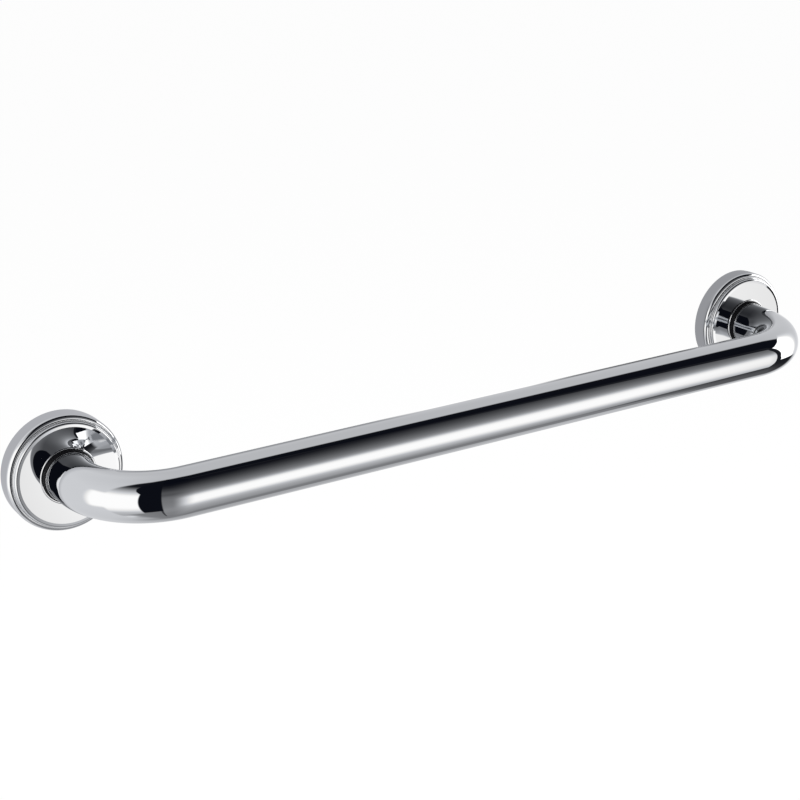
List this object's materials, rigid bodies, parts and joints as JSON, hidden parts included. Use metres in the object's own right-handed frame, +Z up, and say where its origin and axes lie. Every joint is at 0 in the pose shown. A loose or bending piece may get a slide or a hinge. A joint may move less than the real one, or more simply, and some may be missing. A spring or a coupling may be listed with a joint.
{
  "type": "grab bar",
  "caption": "Wall-mounted straight grab bar of bent chrome tube, each leg ending in a round stepped rosette that slides out along the leg to uncover its wall plate.",
  "frame": {"origin": "on the wall's face, half way between the centres of the two legs", "axes": "+X along the bar, +Y into the wall, +Z up; the room is at -Y"},
  "size_m": [0.4994, 0.0755, 0.0604],
  "materials": {
    "tube_chrome": "bright mirror-polished chrome plating on the bent tube",
    "rosette_chrome": "bright chrome plating with a mirror-flat face and softer steps",
    "sleeve_chrome": "bright chrome-plated thin sleeve with a rounded lip",
    "black_rubber": "smooth black rubber",
    "gasket_rubber": "matt dark rubber",
    "zinc_plate": "zinc-plated turned steel",
    "bolt_steel": "plain zinc-plated steel",
    "spring_steel": "dark spring steel",
    "plug_steel": "turned steel",
    "pin_steel": "ground hardened steel",
    "grub_steel": "stainless steel"
  },
  "bodies": {
    "bar": {"grab_tube": "tube_chrome", "left_wall_plate": "zinc_plate", "left_centre_bolt": "bolt_steel", "left_lock_washer": "spring_steel", "left_tube_end_plug": "plug_steel", "left_dowel_pin": "pin_steel", "right_wall_plate": "zinc_plate", "right_centre_bolt": "bolt_steel", "right_lock_washer": "spring_steel", "right_tube_end_plug": "plug_steel", "right_dowel_pin": "pin_steel"},
    "left_cover": {"left_rosette": "rosette_chrome", "left_collar": "sleeve_chrome", "left_neck_ring": "black_rubber", "left_rim_gasket": "gasket_rubber", "left_grub_screw": "grub_steel"},
    "right_cover": {"right_rosette": "rosette_chrome", "right_collar": "sleeve_chrome", "right_neck_ring": "black_rubber", "right_rim_gasket": "gasket_rubber", "right_grub_screw": "grub_steel"}
  },
  "joints": [
    {"name": "left_rosette_slide", "type": "slide", "parent": "bar", "child": "left_cover", "axis": [0, -1, 0], "range_m": [0, 0.0075]},
    {"name": "right_rosette_slide", "type": "slide", "parent": "bar", "child": "right_cover", "axis": [0, -1, 0], "range_m": [0, 0.0075]}
  ]
}
